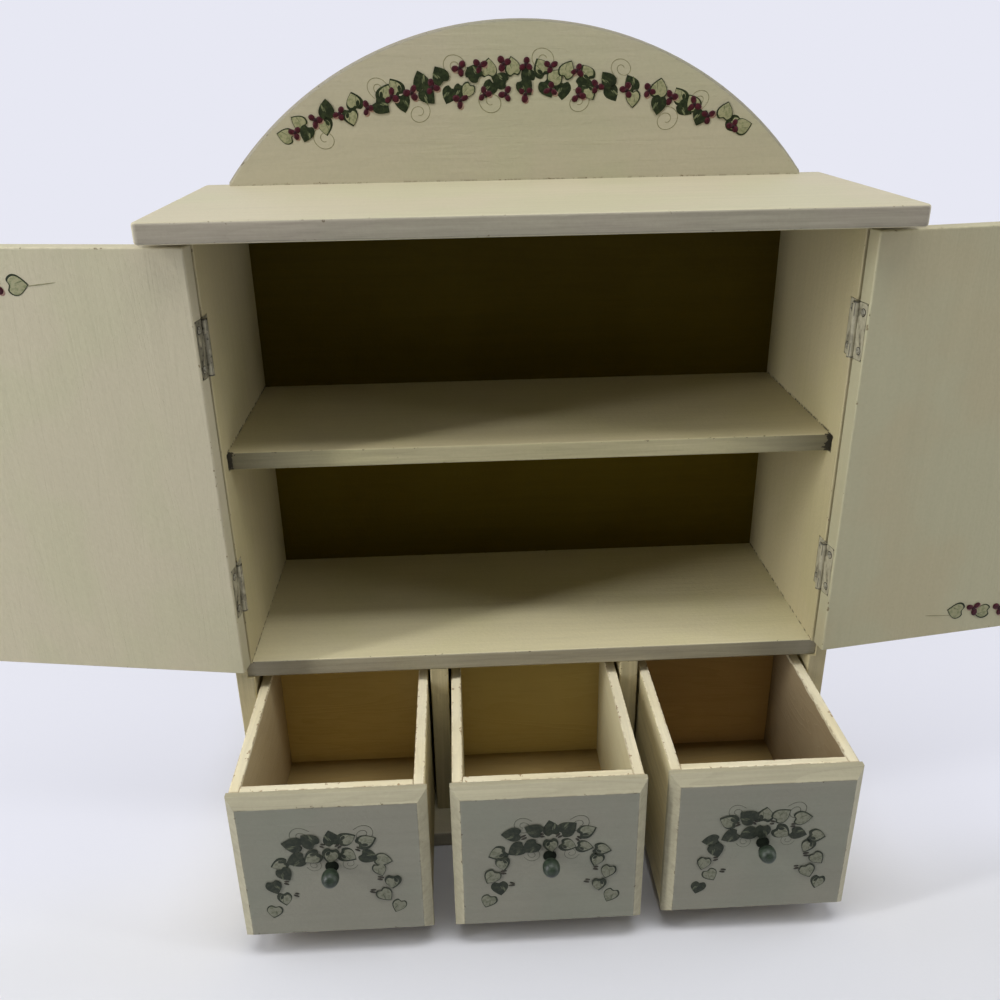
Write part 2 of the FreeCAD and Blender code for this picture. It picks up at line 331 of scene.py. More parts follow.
def makeRawPine():
    group, given, made = newGroup("rawPine", [
        ("Place", "Vector", (0, 0, 0)), ("Early", "Color", (0.6, 0.5, 0.3, 1)),
        ("Late", "Color", (0.4, 0.3, 0.15, 1)), ("Seed", "Float", 0.0)],
        [("Color", "Color"), ("Roughness", "Float"), ("Height", "Float")])
    shift = vectorMaths(group, "SCALE", (23.1, 41.9, 13.3), scale=given["Seed"])
    place = vectorMaths(group, "ADD", given["Place"], shift)
    figure = noise(group, place, (0.0045, 0.05, 0.04), 3, 0.5)
    rings = maths(group, "FRACT", times(group, figure, 17.0))
    late = times(group, ramp(group, rings, 0.25, 0.95), ramp(group, rings, 1.0, 0.94))
    fibre = noise(group, place, (0.07, 2.4, 2.4), 3)
    stain = noise(group, place, 0.02, 3)
    share = plus(group, times(group, late, 0.2), about(group, fibre, 0.3, 0.35))
    share = plus(group, share, about(group, stain, 0.5, 1.3), clamp=True)
    group.links.new(blend(group, share, given["Early"], given["Late"]), made["Color"])
    group.links.new(plus(group, 0.62, times(group, fibre, 0.2)), made["Roughness"])
    group.links.new(plus(group, fibre, times(group, late, 0.5)), made["Height"])
    return group


boardEdge = makeBoardEdge()
brushedPaint = makeBrushedPaint()
rawPine = makeRawPine()


# Painted boards. A turn brings the board's grain onto X.
alongX = (0, 0, 0)
alongY = (0, 0, math.radians(90))
alongZ = (0, math.radians(-90), 0)
doorSwing = math.radians(189)

creamPaint = {"Paint": shade(188, 180, 154), "Tint": (0.97, 1.0, 0.96), "Under": shade(112, 96, 66),
              "Strokes": 0.1, "Wear": 0.7, "Rings": 0.12}
leftDoorPaint = {**creamPaint, "Strokes": 0.05}
# The right door's paint is darker and warmer than the left door's, as painted shade and a painted warm
# reflection.
rightDoorPaint = {**creamPaint, "Paint": shade(179, 174, 143), "Tint": (1.0, 0.955, 0.93), "Strokes": 0.05}
archPaint = {**creamPaint, "Paint": shade(179, 172, 148), "RubAndSheen": 0.0}
innerPaint = {"Paint": shade(189, 178, 141), "Tint": (0.98, 0.99, 0.94), "Under": shade(96, 84, 56),
              "Strokes": 0.07, "Wear": 0.7, "RubAndSheen": 0.0}
# The floor and the shelf have the inner paint made lighter, as painted light on their tops; their front
# tints darken their fronts again as painted shade.
floorPaint = {**innerPaint, "Paint": shade(206, 197, 161)}
shelfPaint = {**innerPaint, "Paint": shade(198, 187, 149)}
# The back panel's dark olive is partly its own paint and partly painted shade, deepening the shade inside
# the compartments.
backPaint = {"Paint": shade(98, 84, 22), "Tint": (0.92, 0.9, 0.82), "Under": shade(60, 46, 26),
             "Strokes": 0.14, "Wear": 0.6, "RubAndSheen": 0.0}
# A dark colour laid for painted shade, and for dirt in the joints
shadeAndGrime = shade(26, 20, 12)

# The front edges are partly greyed, streaky paint and partly painted shade, darker than the lit tops, most
# of all on the top, the base and the floor.
greyedAndShadedFront = (0.70, 0.69, 0.76)
floorTint = (0.66, 0.66, 0.74)
dulledAndShadedFront = (0.80, 0.79, 0.80)
shelfTint = (0.82, 0.84, 0.82)
dividerTint = (0.98, 0.97, 0.97)
archTopShade = (0.62, 0.62, 0.66)              # painted shade along the top of the arch


# A board's middle, in metres, and its half size along its own axes, in millimetres.
def boardBox(name, turn):
    turned = Euler(turn).to_matrix()
    places = [turned.transposed() @ vertex.co for vertex in nodes[name].data.vertices]
    low = Vector([min(place[axis] for place in places) for axis in range(3)])
    high = Vector([max(place[axis] for place in places) for axis in range(3)])
    return turned @ ((low + high) / 2), (high - low) / 2 / mm


def boardPlace(tree, middle, turn):
    node = tree.nodes.new("ShaderNodeMapping")
    node.vector_type = "TEXTURE"
    tree.links.new(objectPlace(tree), node.inputs["Vector"])
    node.inputs["Location"].default_value = middle
    node.inputs["Rotation"].default_value = turn
    node.inputs["Scale"].default_value = (mm, mm, mm)
    return node.outputs["Vector"]


def dress(name, material):
    for slot in nodes[name].material_slots:
        slot.material = material


# A new finish for a piece, with the place on it and how far the nearest arris is, in millimetres.
def startFinish(name, turn):
    material, tree, shader = newMaterial(name + "Finish")
    dress(name, material)
    middle, half = boardBox(name, turn)
    place = boardPlace(tree, middle, turn)
    edge = useGroup(tree, boardEdge, {"Place": place, "Half": half})["Edge"]
    return tree, shader, place, edge


def brushed(tree, place, edge, finish, seed):
    return useGroup(tree, brushedPaint, {"Place": place, "Edge": edge, **finish, "Seed": seed})


def frontness(tree):
    return facing(tree, "y", -0.6, -0.9)


def paintBoard(name, finish, turn, seed, frontTint=None, shadeAndGrimeOf=None):
    tree, shader, place, edge = startFinish(name, turn)
    coat = brushed(tree, place, edge, finish, seed)
    colour = coat["Color"]
    if frontTint:                          # a front edge is thinner painted, streaked and tinted, and darkened as painted shade
        streaky = {**finish, "Strokes": 0.42, "Rings": 0.1, "Wear": 0.95}
        thin = brushed(tree, place, edge, streaky, seed + 0.7)
        colour = blend(tree, frontness(tree), colour, blend(tree, 1.0, thin["Color"], frontTint, "MULTIPLY"))
    # painted shade, and in places dirt, blended over the paint
    if shadeAndGrimeOf:
        colour = blend(tree, shadeAndGrimeOf(tree), colour, shadeAndGrime)
    surface(tree, shader, colour, coat["Roughness"], coat["Height"], 0.16, 0.35)


# Painted shade: where the groove runs out in front of the shelf, a side is darkened like an open, shaded
# slot. There is also a ragged dark line where the shelf and the floor meet it.
def grooveShadeAndGrime(tree):
    place = objectPlace(tree)
    wander = noise(tree, place, 420, 3)
    ragged = about(tree, wander, 0.5, 0.004)
    x, y, z = split(tree, place)
    y = plus(tree, y, ragged)
    z = plus(tree, z, times(tree, ragged, 0.6))
    lines = []
    for name in ("middle_shelf", "compartment_floor"):
        low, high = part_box(name)
        above = sizeOf(tree, minus(tree, z, high.z))
        line = times(tree, ramp(tree, above, 0.0016, 0.0005), ramp(tree, wander, 0.46, 0.54))
        lines.append(times(tree, line, ramp(tree, y, low.y - 0.001, low.y)))
    low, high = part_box("middle_shelf")
    along = sizeOf(tree, minus(tree, y, low.y - 0.0012))
    across = sizeOf(tree, minus(tree, z, (low.z + high.z) / 2))
    # painted shade of an open slot in front of the shelf
    slot = times(tree, ramp(tree, along, 0.0021, 0.0016), ramp(tree, across, 0.0046, 0.004))
    dark = larger(tree, larger(tree, *lines), slot)
    outward = minus(tree, sizeOf(tree, x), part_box("right_side")[0].x)
    inner = ramp(tree, outward, 0.001, 0.0005)             # only on the face that looks inward
    return times(tree, dark, times(tree, inner, 0.92))


# Painted shadow: towards their ends the front edges of the shelf and the floor are darkened where the sides
# of the case shade them.
def frontEnds(tree):
    outward = sizeOf(tree, split(tree, objectPlace(tree))[0])
    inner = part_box("right_side")[0].x
    return times(tree, frontness(tree), ramp(tree, outward, inner * 0.62, inner))


# painted shadow at the ends of the floor's front edge
def floorShade(tree):
    return times(tree, frontEnds(tree), 0.34)


def shelfShade(tree):                      # painted shade of a dark notch at the shelf's front corners, and painted shadow at its ends
    place = objectPlace(tree)
    x, y, _ = split(tree, place)
    short = minus(tree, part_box("right_side")[0].x, sizeOf(tree, x))
    deep = minus(tree, y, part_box("middle_shelf")[0].y)
    ragged = about(tree, noise(tree, place, 520, 3), 0.45, 0.009)
    reach = plus(tree, plus(tree, short, times(tree, deep, 0.8)), ragged)
    notchShade = times(tree, ramp(tree, reach, 0.0027, 0.0019), 0.93)
    return larger(tree, notchShade, times(tree, frontEnds(tree), 0.58))


paintBoard("base_board", creamPaint, alongX, 1, greyedAndShadedFront)
paintBoard("top_board", creamPaint, alongX, 2, greyedAndShadedFront)
paintBoard("left_side", innerPaint, alongZ, 3, dulledAndShadedFront, grooveShadeAndGrime)
paintBoard("right_side", innerPaint, alongZ, 4, dulledAndShadedFront, grooveShadeAndGrime)
paintBoard("left_divider", innerPaint, alongZ, 5, dividerTint)
paintBoard("right_divider", innerPaint, alongZ, 6, dividerTint)
paintBoard("compartment_floor", floorPaint, alongX, 7, floorTint, floorShade)
paintBoard("middle_shelf", shelfPaint, alongX, 8, shelfTint, shelfShade)
paintBoard("left_door", leftDoorPaint, (0, alongZ[1], -doorSwing), 10)
paintBoard("right_door", rightDoorPaint, (0, alongZ[1], doorSwing), 11)


# The pediment's outer arris is an arc, so its edge distance comes from the arc's middle.
def paintPediment():
    material, tree, shader = newMaterial("pedimentFinish")
    dress("pediment", material)
    low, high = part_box("pediment")
    rise = high.z - low.z
    radius = ((high.x - low.x) ** 2 / 4 + rise ** 2) / 2 / rise
    middle = Vector((0, (low.y + high.y) / 2, high.z - radius))
    place = boardPlace(tree, middle, alongX)
    x, y, z = split(tree, place)
    toArc = minus(tree, radius / mm, reachOf(tree, x, z))
    toFace = minus(tree, (high.y - low.y) / 2 / mm, sizeOf(tree, y))
    toFoot = minus(tree, z, (low.z - middle.z) / mm)
    coat = brushed(tree, place, secondSmallest(tree, toArc, toFace, toFoot), archPaint, 12)
    # Dirt has gathered in the corner where the pediment stands on the top
    dirt = times(tree, ramp(tree, toFoot, 1.2, 0.0), ramp(tree, noise(tree, place, 0.35, 3), 0.5, 0.6))
    colour = blend(tree, times(tree, dirt, 0.5), coat["Color"], shade(104, 92, 66))
    # Painted shade: the faces on top of the arch are darkened where the light from above falls on them.
    topShaded = blend(tree, 1.0, colour, archTopShade, "MULTIPLY")
    colour = blend(tree, facing(tree, "z", 0.05, 0.4), colour, topShaded)
    surface(tree, shader, colour, coat["Roughness"], coat["Height"], 0.16, 0.35)


# The back panel is bare fibreboard outside and painted inside, where it is darker towards the top as painted
# shade under the top board.
def finishBackPanel():
    tree, shader, place, edge = startFinish("back_panel", alongX)
    coat = brushed(tree, place, edge, backPaint, 9)
    backTopShade = ramp(tree, split(tree, objectPlace(tree))[2], 0.22, 0.32, 0.0, 0.45)
    inside = blend(tree, backTopShade, coat["Color"], shadeAndGrime)
    felt = noise(tree, place, 0.9, 4)
    cloud = noise(tree, place, 0.02, 3)
    share = plus(tree, times(tree, felt, 0.6), times(tree, cloud, 0.5), clamp=True)
    bare = blend(tree, share, shade(150, 124, 88), shade(176, 150, 112))
    rub = times(tree, ramp(tree, edge, 1.4, 0.2), ramp(tree, cloud, 0.4, 0.6))
    bare = blend(tree, times(tree, rub, 0.6), bare, shade(120, 96, 66))
    outside = facing(tree, "y", -0.3, 0.3)
    height = blend(tree, outside, coat["Height"], felt)
    surface(tree, shader, blend(tree, outside, inside, bare), 0.75, height, 0.14, 0.08)


paintPediment()
finishBackPanel()
print("case and doors painted")


# Drawers: raw pine boxes, painted outside, with cream top edges that the brush ran over.
# The pine differs from drawer to drawer as painted light and shade inside each; the right drawer's walls are
# darkest, as painted shade.
drawerPine = {
    "left": {"walls": {"Early": shade(184, 167, 130), "Late": shade(166, 145, 106)},
             "back": {"Early": shade(226, 207, 142), "Late": shade(208, 185, 118)}},
    "middle": {"walls": {"Early": shade(207, 198, 161), "Late": shade(192, 178, 136)},
               "back": {"Early": shade(218, 200, 138), "Late": shade(200, 177, 112)}},
    "right": {"walls": {"Early": shade(150, 133, 103), "Late": shade(132, 112, 80)},
              "back": {"Early": shade(216, 188, 134), "Late": shade(198, 166, 110)}}}
frontPine = {"Early": shade(214, 195, 137), "Late": shade(196, 173, 112)}
bottomPine = {"Early": shade(156, 134, 84), "Late": shade(138, 113, 66)}
# The drawers' outer cream is made extra light, as painted light on their sides.
outerPaint = {"Paint": shade(212, 201, 164), "Tint": (0.95, 0.95, 0.93), "Under": shade(92, 78, 54),
              "Strokes": 0.3, "Wear": 0.7}
rimPaint = {"Paint": shade(222, 213, 184), "Tint": (0.96, 0.94, 0.88), "Under": shade(150, 118, 82),
            "Strokes": 0.22, "Wear": 1.1, "RubAndSheen": 0.2}
sagePaint = {"Paint": shade(139, 137, 122), "Tint": (0.96, 1.0, 0.99), "Under": shade(90, 82, 66),
             "Strokes": 0.08, "Wear": 0.6, "Rings": 0.1}
chamferPaint = {"Paint": shade(167, 161, 136), "Tint": (0.93, 0.93, 0.93), "Under": shade(92, 78, 54),
                "Strokes": 0.3, "Wear": 0.6}
chamfer = 4.3                              # of the applied fronts


# One finish over another, each given as its colour, roughness and height.
def coated(tree, share, under, over):
    return [blend(tree, share, first, second) for first, second in zip(under, over)]


def looksOf(outputs):
    return [outputs["Color"], outputs["Roughness"], outputs["Height"]]


# Outside is the way along X that a wall's painted face looks, or 0 for a wall without one.
def finishWall(name, turn, seed, pine, outside=0, rimmed=True):
    tree, shader, place, edge = startFinish(name, turn)
    looks = looksOf(useGroup(tree, rawPine, {"Place": place, **pine, "Seed": seed}))
    if rimmed:
        rim = looksOf(brushed(tree, place, edge, rimPaint, seed + 0.5))
        thin = times(tree, ramp(tree, edge, 0.8, 0.2), ramp(tree, noise(tree, place, 0.3, 3), 0.46, 0.58))
        rim[0] = blend(tree, times(tree, thin, 0.55), rim[0], shade(146, 120, 88))
        # The paint of the rim creeps a little down the inside, unevenly
        below = minus(tree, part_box(name)[1].z, split(tree, objectPlace(tree))[2])
        creep = times(tree, noise(tree, place, 0.09, 3), 0.0042)
        spill = ramp(tree, minus(tree, creep, below), 0.0004, 0.0010)
        looks = coated(tree, larger(tree, facing(tree, "z", 0.35, 0.6), spill), looks, rim)
    if outside:
        coat = looksOf(brushed(tree, place, edge, outerPaint, seed))
        looks = coated(tree, facing(tree, "x", 0.5 * outside, 0.8 * outside), looks, coat)
    surface(tree, shader, *looks, 0.14, 0.3)


# The applied front is sage on its face and cream on its chamfers, with a patchy dark line between.
def finishFront(name, seed):
    material, tree, shader = newMaterial(name + "Finish")
    dress(name, material)
    middle, half = boardBox(name, alongX)
    place = boardPlace(tree, middle, alongX)
    x, _, z = split(tree, place)
    toSide = minus(tree, half.x - chamfer, sizeOf(tree, x))
    toTop = minus(tree, half.z - chamfer, sizeOf(tree, z))
    edge = sizeOf(tree, maths(tree, "MINIMUM", toSide, toTop))
    face = looksOf(brushed(tree, place, edge, sagePaint, seed))
    slope = looksOf(brushed(tree, place, edge, chamferPaint, seed + 0.5))
    colour, rough, height = coated(tree, facing(tree, "y", -0.86, -0.95), slope, face)
    line = times(tree, ramp(tree, edge, 0.5, 0.05), ramp(tree, noise(tree, place, 0.16, 3), 0.42, 0.6))
    colour = blend(tree, times(tree, line, 0.35), colour, shade(96, 88, 72))
    surface(tree, shader, colour, rough, height, 0.16, 0.35)


for seed, side in enumerate(("left", "middle", "right"), 20):
    drawer = side + "_drawer_"
    pine = drawerPine[side]
    finishWall(drawer + "left_wall", alongY, seed, pine["walls"], outside=-1)
    finishWall(drawer + "right_wall", alongY, seed + 3.1, pine["walls"], outside=1)
    finishWall(drawer + "box_front", alongX, seed + 6.2, frontPine)
    finishWall(drawer + "box_back", alongX, seed + 9.3, pine["back"])
    finishWall(drawer + "bottom", alongX, seed + 12.4, bottomPine, rimmed=False)
    finishFront(drawer + "front_board", seed + 15.5)
print("drawers finished")


# Metal: dull hinge steel that the brush has caught, and glossy green knobs.
steel = {"Steel": shade(138, 133, 114), "Grime": shade(38, 33, 24), "Paint": shade(173, 167, 142)}
leafPainted = {"left_upper": 0.3, "left_lower": 0.5, "right_upper": 0.68, "right_lower": 0.68}
smallPart = {"Edge": 5}                    # too small for dirt along its arrises


def makeWornSteel():
    group, given, made = newGroup("wornSteel", [
        ("Place", "Vector", (0, 0, 0)), ("Edge", "Float", 5.0), ("Steel", "Color", (0.4, 0.4, 0.4, 1)),
        ("Grime", "Color", (0.03, 0.03, 0.02, 1)), ("Paint", "Color", (0.5, 0.5, 0.4, 1)),
        ("Painted", "Float", 0.4)],
        [("Color", "Color"), ("Metallic", "Float"), ("Roughness", "Float"), ("Height", "Float")])
    smear = noise(group, given["Place"], (0.5, 0.5, 0.16), 3)
    dirt = noise(group, given["Place"], 0.5, 4)
    scratch = noise(group, given["Place"], (4.2, 4.2, 0.5))
    metal = blend(group, ramp(group, dirt, 0.5, 0.72), given["Steel"], given["Grime"])
    limit = minus(group, 0.75, times(group, given["Painted"], 0.5))
    paint = ramp(group, smear, minus(group, limit, 0.12), plus(group, limit, 0.12))
    shaded = vectorMaths(group, "SCALE", given["Paint"], scale=ramp(group, dirt, 0.3, 0.7, 1.06, 0.86))
    colour = blend(group, paint, metal, shaded)
    outline = times(group, ramp(group, given["Edge"], 0.85, 0.35), ramp(group, dirt, 0.3, 0.43))
    group.links.new(blend(group, times(group, outline, 0.85), colour, given["Grime"]), made["Color"])
    group.links.new(times(group, minus(group, 1.0, paint), 0.6), made["Metallic"])
    group.links.new(plus(group, 0.45, times(group, scratch, 0.3)), made["Roughness"])
    group.links.new(plus(group, times(group, scratch, 0.3), paint), made["Height"])
    return group


wornSteel = makeWornSteel()


# Painted is how much of the piece the brush went over, and a turn brings a leaf square to its arrises.
def finishSteel(name, painted, turn=alongX, **other):
    tree, shader, place, edge = startFinish(name, turn)
    worn = useGroup(tree, wornSteel, {"Place": place, "Edge": edge, **steel, "Painted": painted, **other})
    tree.links.new(worn["Metallic"], shader.inputs["Metallic"])
    surface(tree, shader, *looksOf(worn), 0.05)


def knobFinish(name, shadedNeckFrom=None):       # behind that plane a drawer knob's neck is darkened and dulled as painted shade
    material, tree, shader = newMaterial(name)
    place = objectPlace(tree)
    patch = noise(tree, place, 260, 3)
    streak = noise(tree, place, (600, 2400, 600))
    colour = blend(tree, ramp(tree, patch, 0.38, 0.66), shade(30, 39, 29), shade(47, 58, 44))
    colour = blend(tree, times(tree, ramp(tree, streak, 0.5, 0.7), 0.4), colour, shade(66, 80, 64))
    rough = plus(tree, 0.34, times(tree, patch, 0.15))
    shine = 0.4
    if shadedNeckFrom:
        neckShade = ramp(tree, split(tree, place)[1], shadedNeckFrom, shadedNeckFrom + 0.0016)
        colour = blend(tree, neckShade, colour, shade(20, 24, 18))
        rough = plus(tree, rough, times(tree, neckShade, 0.5))
        shine = ramp(tree, neckShade, 0.0, 1.0, 0.4, 0.05)
    surface(tree, shader, colour, rough, streak, 0.04, shine)
    return material


doorKnobPaint = knobFinish("doorKnobPaint")
drawerKnobPaint = knobFinish("drawerKnobPaint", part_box("left_drawer_front_board")[0].y - 0.0048)
for side, swing in (("left", -doorSwing), ("right", doorSwing)):
    dress(side + "_door_knob", doorKnobPaint)
    finishSteel(side + "_door_knob_screw", 0.1, **smallPart)
    finishSteel(side + "_door_hinge_screws", 0.7, **smallPart)
    finishSteel(side + "_frame_hinge_screws", 0.9, **smallPart)
    for level in ("lower", "upper"):
        hinge = side + "_" + level
        painted = leafPainted[hinge]
        finishSteel(hinge + "_hinge_door_leaf", painted, (0, 0, swing))
        finishSteel(hinge + "_hinge_frame_leaf", painted + 0.1)
        finishSteel(hinge + "_hinge_pin", 0.3, **smallPart)
for side in ("left", "middle", "right"):
    dress(side + "_drawer_knob", drawerKnobPaint)
    finishSteel(side + "_drawer_knob_screw", 0.0, **smallPart)
finishSteel("back_panel_pins", 0.1, **smallPart)


# The heads of the hinge screws stand a little proud, each with a recess and a dark ring round it.
screwHead = {"across": 3.0, "thick": 0.4, "rise": 0.22, "domed": 0.16, "shoulder": 0.35,
             "recess": 1.3, "recessWall": 0.12, "recessDepth": 0.3}
darkRing = {"wider": 0.35, "thick": 0.08, "shoulder": 0.2, "domed": 0.03, "rise": 0.02}
screwSpacing = 4.0                         # screws of a node stand further apart than this


def modelDisc(radius, thick):              # left in edit mode with its outer face picked
    disc = newPiece(bpy.ops.mesh.primitive_cylinder_add, vertices=20, radius=radius * mm, depth=thick * mm)
    pick(disc, "FACE", lambda face: face.normal.z > 0.9)
    return disc


def modelScrewHead():
    radius = screwHead["across"] / 2
    flat = radius - screwHead["shoulder"] - screwHead["recess"] / 2
    head = modelDisc(radius, screwHead["thick"])
    bpy.ops.mesh.inset(thickness=screwHead["shoulder"] * mm, depth=screwHead["domed"] * mm)
    bpy.ops.mesh.inset(thickness=flat * mm, depth=0.02 * mm)
    bpy.ops.mesh.inset(thickness=screwHead["recessWall"] * mm, depth=-screwHead["recessDepth"] * mm)
    closeUp(head)
    return head


def modelRing():
    ring = modelDisc(screwHead["across"] / 2 + darkRing["wider"], darkRing["thick"])
    bpy.ops.mesh.inset(thickness=darkRing["shoulder"] * mm, depth=darkRing["domed"] * mm)
    closeUp(ring)
    return ring


def headFinish():
    material, tree, shader = newMaterial("screwHeadFinish")
    spot = noise(tree, objectPlace(tree), 900, 3)
    colour = blend(tree, ramp(tree, spot, 0.42, 0.62), shade(172, 169, 152), shade(122, 118, 104))
    shader.inputs["Metallic"].default_value = 0.4
    surface(tree, shader, colour, ramp(tree, spot, 0.4, 0.6, 0.4, 0.6), spot, 0.03)
    return material


def darkRingFinish():
    material, tree, shader = newMaterial("screwDarkRing")
    spot = noise(tree, objectPlace(tree), 900, 3)
    surface(tree, shader, blend(tree, spot, shade(30, 26, 20), shade(52, 46, 36)), 0.8, spot, 0.03)
    return material


# One head on each screw of a node, looking out of the leaf.
def headScrews(name, body, out):
    corners = [vertex.co for vertex in nodes[name].data.vertices]
    heights = sorted(corner.z for corner in corners)
    steps = [high for low, high in zip(heights, heights[1:]) if high - low > screwSpacing * mm]
    up = Vector((0, 0, 1))
    face = Matrix((up.cross(out), up, out)).transposed().to_4x4()
    pieces = []
    for start in [heights[0]] + steps:
        near = [corner for corner in corners if start - mm < corner.z < start + screwSpacing * mm]
        reach = max(corner.dot(out) for corner in near)
        outer = [corner for corner in near if corner.dot(out) > reach - 0.02 * mm]
        middle = sum(outer, Vector()) / len(outer)
        for shape, material, lift in screwShapes:
            place = Matrix.Translation(middle + out * lift * mm) @ face
            pieces.append(copyOf(shape, place, material))
    joined(pieces, name.replace("_", "-") + "-heads", body)


headModel = modelScrewHead()
ringModel = modelRing()
screwShapes = [(headModel, headFinish(), screwHead["rise"] - screwHead["thick"] / 2),
               (ringModel, darkRingFinish(), darkRing["rise"])]
for side, sign in (("left", 1), ("right", -1)):
    lean = doorSwing - math.pi
    headScrews(side + "_door_hinge_screws", side + "_door",
               Vector((sign * math.cos(lean), -math.sin(lean), 0)))
    headScrews(side + "_frame_hinge_screws", "cabinet", Vector((sign, 0, 0)))
setAside([headModel, ringModel])
print("metal finished")


# Painted ornament. Each motif is modelled once, lying in X and Y with its outer end towards +Y.
ivy = {"points": 28, "tip": 0.3, "notch": 0.2, "stretch": 0.88, "thick": 0.03}
berry = {"segments": 12, "rings": 6, "flattened": 0.12}
curl = {"turns": 1.6, "reach": 0.6, "eye": 0.1, "line": 0.03}


# A heart one unit wide, its stem end at the origin: a disc drawn out to a tip and pushed in at the stem.
def modelHeart():
    heart = newPiece(bpy.ops.mesh.primitive_circle_add, vertices=ivy["points"], radius=0.5, fill_type="NGON")
    pick(heart, "VERT", lambda vertex: vertex.co.y > 0.499)
    bpy.ops.transform.translate(value=(0, ivy["tip"], 0), use_proportional_edit=True,
                                proportional_edit_falloff="SHARP", proportional_size=0.62)
    pick(heart, "VERT", lambda vertex: vertex.co.y < -0.499)
    bpy.ops.transform.translate(value=(0, ivy["notch"], 0), use_proportional_edit=True,
                                proportional_edit_falloff="SMOOTH", proportional_size=0.3)
    bpy.ops.mesh.select_all(action="SELECT")
    bpy.ops.transform.translate(value=(0, 0.5 - ivy["notch"], -0.02))
    bpy.ops.transform.resize(value=(1, ivy["stretch"], 1), center_override=(0, 0, 0))
    bpy.ops.mesh.extrude_region_move(TRANSFORM_OT_translate={"value": (0, 0, ivy["thick"])})
    bpy.ops.mesh.inset(thickness=0.03, depth=0.01)
    closeUp(heart)
    return heart


# One dab of a full brush: a low dome, one unit across, long in Y for a stroke.
def modelDab():
    dab = newPiece(bpy.ops.mesh.primitive_uv_sphere_add, segments=berry["segments"],
                   ring_count=berry["rings"], radius=0.5)
    bpy.ops.mesh.select_all(action="SELECT")
    bpy.ops.mesh.bisect(plane_co=(0, 0, 0), plane_no=(0, 0, 1), use_fill=True, clear_inner=True)
    pick(dab, "VERT", lambda vertex: vertex.co.z > 0.499)
    bpy.ops.transform.translate(value=(0, 0, -berry["flattened"]))
    closeUp(dab)
    return dab


# A tendril: it leaves the origin along +X in a wide arc and winds in on itself.
def modelCurl():
    tendril = newPiece(bpy.ops.curve.primitive_nurbs_path_add)
    bpy.ops.curve.select_all(action="SELECT")
    bpy.ops.curve.subdivide(number_cuts=5)
    bpy.ops.object.mode_set(mode="OBJECT")
    line = tendril.data.splines[0]
    for number, point in enumerate(line.points):
        along = number / (len(line.points) - 1)
        angle = along * curl["turns"] * 2 * math.pi
        radius = curl["eye"] + (curl["reach"] - curl["eye"]) * (1 - along) ** 0.9
        point.co = (radius * math.sin(angle), curl["reach"] - radius * math.cos(angle), 0, 1)
    line.order_u = 4
    line.resolution_u = 2
    tendril.data.bevel_depth = curl["line"] / 2
    tendril.data.bevel_resolution = 1
    tendril.data.use_fill_caps = True
    bpy.ops.object.convert(target="MESH")
    return tendril


motifs = {"heart": modelHeart(), "dab": modelDab(), "curl": modelCurl()}


def artPaint(name, base, second):
    material, tree, shader = newMaterial(name)
    place = objectPlace(tree)
    mottle = noise(tree, place, 700, 3)
    brush = noise(tree, place, (2600, 2600, 900))
    share = plus(tree, ramp(tree, mottle, 0.4, 0.68), about(tree, brush, 0.5, 0.8), clamp=True)
    rough = plus(tree, 0.5, times(tree, brush, 0.15))
    surface(tree, shader, blend(tree, share, base, second), rough, brush, 0.04, 0.22)
    return material


garlandPaints = {
    "dark": artPaint("leafDark", shade(28, 37, 17), shade(48, 56, 30)),
    "pale": artPaint("leafPale", shade(152, 150, 116), shade(124, 127, 92)),
    "glint": artPaint("leafGlint", shade(112, 116, 84), shade(74, 82, 54)),
    "berry": artPaint("berryPaint", shade(56, 10, 21), shade(76, 20, 33)),
    "pit": artPaint("berryPit", shade(36, 10, 15), shade(52, 17, 24)),
    "blush": artPaint("berryBlush", shade(170, 144, 126), shade(148, 112, 102)),
    "line": artPaint("tendrilPaint", shade(122, 120, 88), shade(142, 138, 106)),
}
drawerPaints = {
    "dark": artPaint("drawerLeafDark", shade(40, 46, 36), shade(58, 62, 48)),
    "pale": artPaint("drawerLeafPale", shade(128, 128, 110), shade(104, 107, 88)),
    "glint": artPaint("drawerLeafGlint", shade(96, 100, 80), shade(70, 74, 58)),
    "berry": artPaint("drawerDab", shade(50, 48, 40), shade(70, 66, 56)),
    "line": artPaint("drawerLine", shade(76, 78, 64), shade(96, 97, 80)),
}

# What lies on a leaf's dark heart: motif, paint, how far along and aside it is, its lean, its width and
# length as shares of the leaf's, its height and its lift. A dark leaf gets a soft light on one lobe. A half
# dark one has a pale body with shade at the stem and down one side, and an outlined one hardly any shade.
vein = ("dab", "glint", 0.5, -0.12, 0.25, 0.05, 0.5, 0.08, 0.07)
leafStrokes = {
    "dark": [("dab", "glint", 0.5, 0.24, -0.3, 0.12, 0.46, 0.1, 0.05),
             ("dab", "glint", 0.38, 0.1, -0.3, 0.06, 0.3, 0.1, 0.05)],
    "half": [("heart", "pale", 0.17, 0.05, 0, 0.74, 0.74, 3.0, 0.03), vein,
             ("dab", "dark", 0.26, -0.16, 0.5, 0.22, 0.36, 0.1, 0.08)],
    "outline": [("heart", "pale", 0.07, 0.02, 0, 0.86, 0.86, 3.0, 0.03), vein],
}


